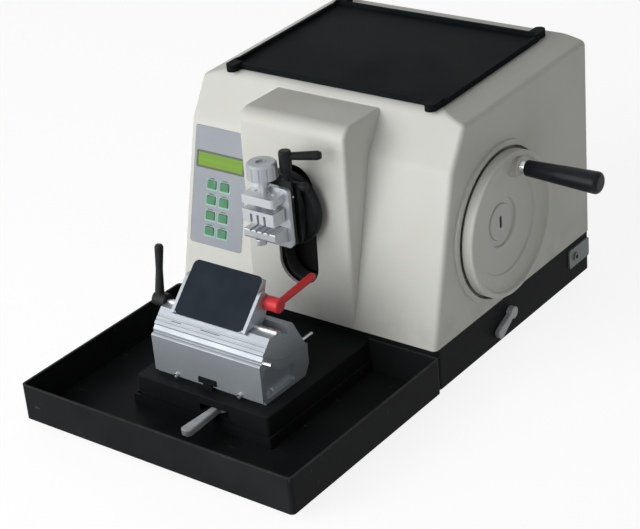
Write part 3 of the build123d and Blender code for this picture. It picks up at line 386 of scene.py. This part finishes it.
def make_plain(name, tone, second, patch, rough, grain, depth, **constants):
    """A finish with one drift of colour and one fine bump, which suits most small parts."""
    finish = Finish(name, **constants)
    drift = finish.span(finish.noise(patch, 3), 0.4, 0.75)
    finish.set("base color", finish.mix(drift, tone, second))
    finish.set("roughness", rough + drift * 0.12)
    finish.bump(finish.noise(grain, 2), depth, 0.4)
    return finish


def make_shafted():
    """Black lever whose shaft, to the right of the hub, is bare steel."""
    finish = Finish("shafted_lever", roughness=0.4, specular_ior_level=0.15)
    steel = finish.axis("X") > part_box("side_lever")[0].x + side_hub_width
    drift = finish.span(finish.noise(80, 3), 0.4, 0.75)
    black = finish.mix(drift, moulded_black, moulded_worn)
    finish.set("base color", finish.mix(steel, black, shaft_steel))
    finish.set("metallic", steel * 0.9)
    finish.set("roughness", 0.42 + drift * 0.1 - steel * 0.18)
    finish.bump(finish.noise(900, 2), 0.0001, 0.3)
    return finish


grip_gloss = make_plain(
    "grip_gloss", phenolic, phenolic_pale, 30, 0.24, 60, 0.0001,
    specular_ior_level=0.08, coat_weight=0.05, coat_roughness=0.15)
lever_satin = make_plain(
    "lever_satin", moulded_black, moulded_worn, 80, 0.42, 900, 0.0001,
    specular_ior_level=0.12)
lever_red = make_plain(
    "lever_red", warning_red, faded_red, 60, 0.34, 500, 0.00006,
    specular_ior_level=0.25, coat_weight=0.08, coat_roughness=0.2)
lever_grey = make_plain("lever_grey", casting_grey, casting_pale, 70, 0.38, 1200, 0.00012)
dress(grip_gloss, "crank_grip")
dress(lever_satin, "clamp_lever", "tilt_lock", "x_tilt_block", "z_tilt_block", "specimen_arm")
dress(make_shafted(), "side_lever")
dress(lever_red, "blade_lever")
dress(lever_grey, "holder_lock", "wheel_lock")


# %% [markdown]
# ## Machined aluminium and steel
#
# The knife holder and the specimen clamp are machined aluminium with a clear satin anodise.
# The cutter leaves fine parallel lines, so the noise that feeds roughness and bump is stretched
# along the long side of each block. Turned steel gets its lines round its own axis instead,
# and that is close enough to noise squeezed along X at this size.

# %% Make the metals
aluminium_tone = (0.37, 0.40, 0.43)
aluminium_dark = (0.29, 0.32, 0.35)
steel_tone = (0.62, 0.62, 0.63)
steel_dark = (0.40, 0.40, 0.41)


def make_metal(name, bright, dark, lines, stretch, rough, depth, metallic=1.0):
    finish = Finish(name, metallic=metallic)
    cut = finish.noise(lines, 3, stretch)
    cloud = finish.span(finish.noise(28, 3), 0.35, 0.75)
    finish.set("base color", finish.mix(cloud * 0.6 + cut * 0.2, bright, dark))
    finish.set("roughness", rough + cut * 0.14 + cloud * 0.06)
    finish.bump(cut, depth, 0.35)
    return finish


holder_metal = make_metal(
    "satin_anodise", aluminium_tone, aluminium_dark, 500, (0.05, 1, 1), 0.34, 0.00004, metallic=0.6)
clamp_metal = make_metal(
    "milled_aluminium", (0.58, 0.60, 0.62), (0.46, 0.495, 0.53), 600, (1, 1, 0.06), 0.32, 0.00004,
    metallic=0.6)
knob_metal = make_metal(
    "knurled_aluminium", (0.44, 0.46, 0.48), (0.33, 0.35, 0.37), 600, (0.2, 0.2, 1), 0.34, 0.00004,
    metallic=0.6)
turned_steel = make_metal("turned_steel", steel_tone, steel_dark, 900, (1, 0.2, 0.2), 0.2, 0.00002)
ground_iron = make_metal(
    "ground_iron", (0.30, 0.31, 0.32), (0.20, 0.20, 0.21), 400, (1, 1, 0.1), 0.42, 0.00006)
turned_brass = make_metal(
    "turned_brass", (0.72, 0.53, 0.24), (0.50, 0.36, 0.16), 700, (0.3, 1, 0.3), 0.28, 0.00003)
dress(holder_metal, "holder_base", "tilt_segment", "blade_carriage", "motor_bracket")
dress(clamp_metal, "clamp_frame", "clamp_jaw")
dress(knob_metal, "clamp_knob")
dress(
    turned_steel, "crank_pin", "holder_screws", "base_pin", "segment_pin", "clamp_shaft",
    "main_shaft", "column_rails", "carriage_rails", "feed_screw", "shaft_bearings")
dress(ground_iron, "crank_disc", "inner_frame", "carriage")
dress(turned_brass, "slide_block", "feed_nut")


# %% [markdown]
# ## The pressure plate
#
# The plate that holds the blade down is blued steel, nearly black with a cold tint, and its
# edges are bright where the blueing has been ground off. The edges are found by comparing the
# surface's own normal with the normal of the plate's face: where the two differ the metal shows.

# %% Make the blued plate
blued = (0.015, 0.021, 0.029)
blued_pale = (0.022, 0.030, 0.040)
bare_edge = (0.50, 0.52, 0.54)
plate_slope = math.sqrt(0.5)


def make_blued_plate():
    finish = Finish("blued_plate", roughness=0.42, specular_ior_level=0.05)
    cloud = finish.span(finish.noise(35, 3), 0.35, 0.75)
    turned = finish.node("ShaderNodeTexCoord", output=1)
    sockets = {0: turned, 1: (0, -plate_slope, plate_slope)}
    towards = finish.node("ShaderNodeVectorMath", {"operation": "DOT_PRODUCT"}, sockets, 1)
    face = finish.span(towards, 0.6, 0.9)
    finish.set("base color", finish.mix(face, bare_edge, finish.mix(cloud, blued, blued_pale)))
    finish.set("metallic", 1 - face)
    finish.set("roughness", 0.34 + cloud * 0.12)
    finish.bump(finish.noise(1100, 2), 0.00008, 0.4)
    return finish


blued_plate = make_blued_plate()
dress(blued_plate, "pressure_plate")


# %% [markdown]
# ## The control panel
#
# The panel is a printed membrane: a blue-grey film with a soft sheen. Its display is a backlit
# liquid crystal with sixteen cells in each of two rows. The cells are drawn by folding the X
# coordinate and the height into repeats, which gives the faint grid that such a display shows
# even when it is blank.

# %% Make the panel finishes
film_grey = (0.295, 0.318, 0.36)
film_pale = (0.35, 0.368, 0.40)
frame_olive = (0.045, 0.060, 0.022)
frame_pale = (0.06, 0.08, 0.03)
glow_green = (0.155, 0.275, 0.042)
cell_green = (0.13, 0.24, 0.035)
key_deep = (0.028, 0.17, 0.070)
key_soft = (0.060, 0.26, 0.13)
rim_green = (0.33, 0.56, 0.47)
mark_grey = (0.10, 0.11, 0.13)
cells_across = 16
cells_down = 2
panel_lean = 14.6
key_columns = 2
key_rows = 4
rim_half_width = 7.9 * mm
rim_half_height = 6.4 * mm
mark_half_width = 3.6 * mm
mark_foot = 7.0 * mm
mark_head = 8.2 * mm


def make_display_glow():
    finish = Finish("display_glow", roughness=0.35, specular_ior_level=0.1)
    low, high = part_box("display_glass")
    across = finish.span(finish.axis("X"), low.x, high.x, 0, cells_across)
    down = finish.span(finish.axis("Z"), low.z, high.z, 0, cells_down)
    along, up = across.folded(), down.folded()
    inside = (along > 0.14) * (along < 0.86) * (up > 0.2) * (up < 0.8)
    tone = finish.mix(inside * 0.6, glow_green, cell_green)
    finish.set("base color", tone)
    finish.set("emission color", tone)
    finish.set("emission strength", 0.35)
    return finish


def make_panel_film():
    """The film, with a pale green rim printed round each key and a short dark mark above it."""
    finish = Finish("panel_film", roughness=0.4, specular_ior_level=0.3)
    lean = math.radians(panel_lean)
    along = Vector((0, math.sin(lean), math.cos(lean)))
    first, right, below = (sum(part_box(f"key_{n}"), Vector()) / 2 for n in (1, 2, 3))
    column, row = right.x - first.x, (first - below).dot(along)
    up = finish.axis("Y") * along.y + finish.axis("Z") * along.z
    across = (finish.axis("X") - first.x) / column + 0.5
    down = (first.dot(along) - up) / row + 0.5
    cell_x, cell_y = (across.folded() - 0.5) * column, (down.folded() - 0.5) * row
    inside = (across > 0) * (across < key_columns) * (down > 0) * (down < key_rows)
    rim = inside * (cell_x.size() < rim_half_width) * (cell_y.size() < rim_half_height)
    mark = inside * (cell_x.size() < mark_half_width)
    mark = mark * (cell_y < -mark_foot) * (cell_y > -mark_head)
    drift = finish.span(finish.noise(12, 3), 0.4, 0.75)
    tone = finish.mix(rim, finish.mix(drift, film_grey, film_pale), rim_green)
    finish.set("base color", finish.mix(mark, tone, mark_grey))
    finish.set("roughness", 0.38 + drift * 0.12)
    finish.bump(finish.noise(1300, 2), 0.00004, 0.4)
    return finish


panel_film = make_panel_film()
display_frame = make_plain("display_frame", frame_olive, frame_pale, 40, 0.3, 900, 0.00003)
key_rubber = make_plain("key_rubber", key_deep, key_soft, 160, 0.45, 900, 0.00008)
display_glow = make_display_glow()
dress(panel_film, "control_panel")
dress(display_frame, "display_frame")
dress(display_glow, "display_glass")
dress(key_rubber, *[f"key_{number}" for number in range(1, 9)])


# %% [markdown]
# ## Sockets, liner and circuit boards
#
# What is left is small or inside: the black liner of the slot, the grey plate with its jack, the
# mains inlet and rocker, and two green circuit boards with the motor.

# %% Make the remaining finishes
socket_black = (0.014, 0.014, 0.015)
socket_worn = (0.03, 0.03, 0.03)
pin_brass = (0.72, 0.60, 0.36)
pin_half_width = 1.05 * mm
pin_half_height = 4.6 * mm
pin_spacing = 7 * mm
pin_tip = 3.9 * mm
pin_root = 14.9 * mm


def make_inlet():
    """Black moulding with three brass pins, found by their place in its cavity."""
    finish = Finish("inlet_pins", roughness=0.4)
    low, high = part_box("mains_inlet")
    middle = (low + high) / 2
    x = (finish.axis("X") - middle.x).size()
    z = (finish.axis("Z") - middle.z).size()
    column = (x < pin_half_width) + ((x - pin_spacing).size() < pin_half_width)
    y = finish.axis("Y")
    pin = column * (z < pin_half_height) * (y > high.y - pin_root) * (y < high.y - pin_tip)
    finish.set("base color", finish.mix(pin, socket_black, pin_brass))
    finish.set("metallic", pin)
    finish.bump(finish.noise(1200, 2), 0.00008, 0.4)
    return finish


liner_black = make_plain(
    "liner_black", (0.020, 0.020, 0.021), (0.030, 0.030, 0.031), 20, 0.7, 900, 0.0001)
plate_grey = make_plain(
    "plate_grey", (0.16, 0.185, 0.185), (0.22, 0.24, 0.24), 50, 0.4, 1000, 0.00008)
inlet_black = make_plain(
    "inlet_black", socket_black, socket_worn, 70, 0.4, 1200, 0.00008)
board_green = make_plain(
    "board_green", (0.02, 0.11, 0.05), (0.03, 0.15, 0.07), 90, 0.35, 500, 0.0001)
dress(liner_black, "slot_liner", "feed_motor")
dress(plate_grey, "socket_plate")
dress(inlet_black, "power_rocker")
dress(make_inlet(), "mains_inlet")
dress(board_green, "control_board", "key_board")


# %% [markdown]
# ## Small pieces
#
# A few things are too small to be solids of their own, and show only close to: socket screws on
# the head, the holder and the rear of the casing, a stub of screw under the lower jaw, and two
# index marks across the segment's slope. All but the marks start as one cylinder, so the first
# helper makes it where the machine's own millimetres say, and turns it to face its way.

# %% Make a cylinder in its place
# the step from the machine's own zero, at the foot of the casing's front, to the frame's origin
shift = Vector((-54.4, -34.7, 0)) * mm
facing = {
    "+X": (0, math.pi / 2, 0), "-X": (0, -math.pi / 2, 0),
    "-Y": (math.pi / 2, 0, 0), "+Y": (-math.pi / 2, 0, 0), "-Z": (math.pi, 0, 0),
}


def add_cylinder(name, place, way, radius, length, sides):
    """A cylinder on the machine's own millimetres, its foot at place and its top facing way."""
    bpy.ops.object.select_all(action="DESELECT")
    bpy.ops.mesh.primitive_cylinder_add(
        vertices=sides, radius=radius * mm, depth=length * mm, location=(0, 0, 0))
    made = bpy.context.object
    made.name = name
    made.location = (0, 0, length * mm / 2)
    bpy.ops.object.transform_apply(location=True, rotation=False, scale=False)
    made.rotation_euler = facing[way]
    made.location = Vector(place) * mm + shift
    bpy.ops.object.transform_apply(location=True, rotation=True, scale=False)
    return made


def apply_modifier(piece, kind, **settings):
    bpy.ops.object.select_all(action="DESELECT")
    piece.select_set(True)
    bpy.context.view_layer.objects.active = piece
    modifier = piece.modifiers.new("step", kind)
    for key, value in settings.items():
        setattr(modifier, key, value)
    bpy.ops.object.modifier_apply(modifier="step")


def finish_piece(piece, finish, body):
    piece.data.materials.append(finish.material)
    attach(piece, body)


# %% [markdown]
# ### Screws, stub and marks
#
# A socket screw's head is a bevelled cylinder with a hexagon taken out of it by a boolean
# modifier, which is then applied. A mark is a thin bar that lies half in the metal. Each piece
# rides on the body that it is fixed to, so that it moves with it.

# %% Shape a screw, the stub and a mark
screw_bevel = 0.16
hexagon_size = 0.52
hexagon_floor = 0.45
mark_width = 0.7
mark_thickness = 0.24


def add_screw(name, place, way, radius, proud, body):
    """A socket screw head: bevelled cylinder with a hexagon sunk in it."""
    head = add_cylinder(name, place, way, radius, proud, 32)
    apply_modifier(head, "BEVEL", width=radius * screw_bevel * mm, segments=3, limit_method="ANGLE")
    start = Vector(place) + Euler(facing[way]).to_matrix() @ Vector((0, 0, proud * hexagon_floor))
    hexagon = add_cylinder("hexagon", start, way, radius * hexagon_size, proud, 6)
    apply_modifier(head, "BOOLEAN", operation="DIFFERENCE", object=hexagon, solver="EXACT")
    bpy.data.objects.remove(hexagon)
    finish_piece(head, turned_steel, body)


def add_stub():
    """The adjusting screw under the lower jaw."""
    stub = add_cylinder("jaw_stub", (-7, -50, 177.5), "-Z", 6.2, 7, 24)
    apply_modifier(stub, "BEVEL", width=0.7 * mm, segments=2, limit_method="ANGLE")
    finish_piece(stub, clamp_metal, "z_tilt")


def add_mark(name, place, length):
    """A dark line across the segment's slope, which leans back by half a right angle."""
    bpy.ops.object.select_all(action="DESELECT")
    bpy.ops.mesh.primitive_cube_add(size=1, location=Vector(place) * mm + shift)
    mark = bpy.context.object
    mark.name = name
    mark.scale = Vector((length, mark_width, mark_thickness)) * mm
    mark.rotation_euler = (math.pi / 4, 0, 0)
    bpy.ops.object.transform_apply(location=True, rotation=True, scale=True)
    finish_piece(mark, lever_satin, "segment")


# %% [markdown]
# ### Where they go
#
# The screws are a table of places, so one loop adds them all. The marks lie up the slope from its
# foot, and the slope leans by half a right angle, so they go back as far as they go up.

# %% Add the small pieces
slope_foot_y = -162.07
slope_foot_z = 108.94
marks_up_slope = 7.6
screws = [
    ("head_screw", (28, -31.6, 226.5), "+X", 1.3, 0.8, "z_tilt"),
    ("holder_screw_right", (69, -146.5, 59), "+X", 2.2, 1.6, "holder"),
    ("holder_screw_left", (-69, -146.5, 59), "-X", 2.2, 1.6, "holder"),
    ("case_screw_1", (-165, 337, 74), "+Y", 3.2, 1.6, "base"),
    ("case_screw_2", (165, 337, 74), "+Y", 3.2, 1.6, "base"),
    ("case_screw_3", (-150, 337, 285), "+Y", 3.2, 1.6, "base"),
    ("case_screw_4", (150, 337, 285), "+Y", 3.2, 1.6, "base"),
]
for screw in screws:
    add_screw(*screw)
add_stub()
mark_rise = marks_up_slope * plate_slope
mark_y, mark_z = slope_foot_y + mark_rise, slope_foot_z + mark_rise
add_mark("index_mark_1", (0, mark_y, mark_z), 26)
add_mark("index_mark_2", (-47, mark_y, mark_z), 14)
print("added", len(screws) + 3, "small pieces")


# %% [markdown]
# ## The floor
#
# The floor is a plain pale plane. To the
# camera and to reflections it mostly glows white, which gives a pale ground without more light on
# the object. It keeps a share of its lit colour, so that the object's soft shadow still lies on it.

# %% Lay the floor
floor_size = 60
floor_glow = 1.2
glow_share = 0.72
floor_white = (0.80, 0.80, 0.80)


def seen_directly(owner):
    """A socket that is one for rays from the camera, off a gloss or through glass, else nought."""
    nodes, links = owner.node_tree.nodes, owner.node_tree.links
    ray = nodes.new("ShaderNodeLightPath")
    seen = ray.outputs["Is Camera Ray"]
    for kind in ("Is Glossy Ray", "Is Transmission Ray"):
        either = nodes.new("ShaderNodeMath")
        either.operation = "MAXIMUM"
        links.new(seen, either.inputs[0])
        links.new(ray.outputs[kind], either.inputs[1])
        seen = either.outputs[0]
    return seen


def lay_floor():
    bpy.ops.mesh.primitive_plane_add(size=floor_size, location=(0, 0, bench_z))
    floor = bpy.context.object
    floor.name = "floor"
    finish = Finish("floor_white", roughness=0.9)
    finish.set("base color", floor_white)
    glow = finish.node("ShaderNodeEmission", None, {"Color": (1, 1, 1), "Strength": floor_glow})
    lit = Wire(finish, finish.shader.outputs[0])
    seen = Wire(finish, seen_directly(finish.material)) * glow_share
    shown = finish.node("ShaderNodeMixShader", None, {0: seen, 1: lit, 2: glow})
    finish.feed(finish.nodes["Material Output"].inputs[0], shown)
    floor.data.materials.append(finish.material)


lay_floor()
print("floor", floor_size, "m across")


# %% [markdown]
# ## The lamps and the room
#
# One large soft lamp stands to the front left and lights the casing's face, as a window would, and
# the handwheel side falls into a soft shade. A weak lamp fills from the right. The world is white
# to the camera and to reflections, and dim to everything else, most of all overhead, so that the
# top stays a little darker than the front.

# %% Hang the lamps and fill the room
ambient_level = 0.44
ambient_overhead = 0.08
instrument_middle = (0, 0, 0.12)


def hang_lamp(name, place, size, power):
    bpy.ops.object.light_add(type="AREA", location=place)
    lamp = bpy.context.object
    lamp.name = name
    lamp.data.size = size
    lamp.data.energy = power
    turn = (Vector(instrument_middle) - Vector(place)).to_track_quat("-Z", "Y")
    lamp.rotation_mode = "QUATERNION"
    lamp.rotation_quaternion = turn


def sky_strength(nodes, links):
    """A room is brighter at the height of its windows than overhead."""
    towards = nodes.new("ShaderNodeTexCoord")
    split = nodes.new("ShaderNodeSeparateXYZ")
    links.new(towards.outputs["Generated"], split.inputs[0])
    spread = nodes.new("ShaderNodeMapRange")
    links.new(split.outputs[2], spread.inputs[0])
    spread.inputs[3].default_value = ambient_level
    spread.inputs[4].default_value = ambient_overhead
    return spread.outputs[0]


def fill_world():
    world = bpy.data.worlds.new("studio")
    bpy.context.scene.world = world
    world.use_nodes = True
    nodes, links = world.node_tree.nodes, world.node_tree.links
    nodes.clear()
    dim = nodes.new("ShaderNodeBackground")
    links.new(sky_strength(nodes, links), dim.inputs["Strength"])
    bright = nodes.new("ShaderNodeBackground")
    bright.inputs["Strength"].default_value = 1
    for background in (dim, bright):
        background.inputs["Color"].default_value = (1, 1, 1, 1)
    choose = nodes.new("ShaderNodeMixShader")
    links.new(seen_directly(world), choose.inputs[0])
    links.new(dim.outputs[0], choose.inputs[1])
    links.new(bright.outputs[0], choose.inputs[2])
    output = nodes.new("ShaderNodeOutputWorld")
    links.new(choose.outputs[0], output.inputs[0])


hang_lamp("window", (-1.1, -2.5, 1.0), 2.6, 82)
hang_lamp("fill", (2.4, -0.6, 1.2), 1.6, 1)
fill_world()
bpy.context.scene.view_settings.view_transform = "Standard"
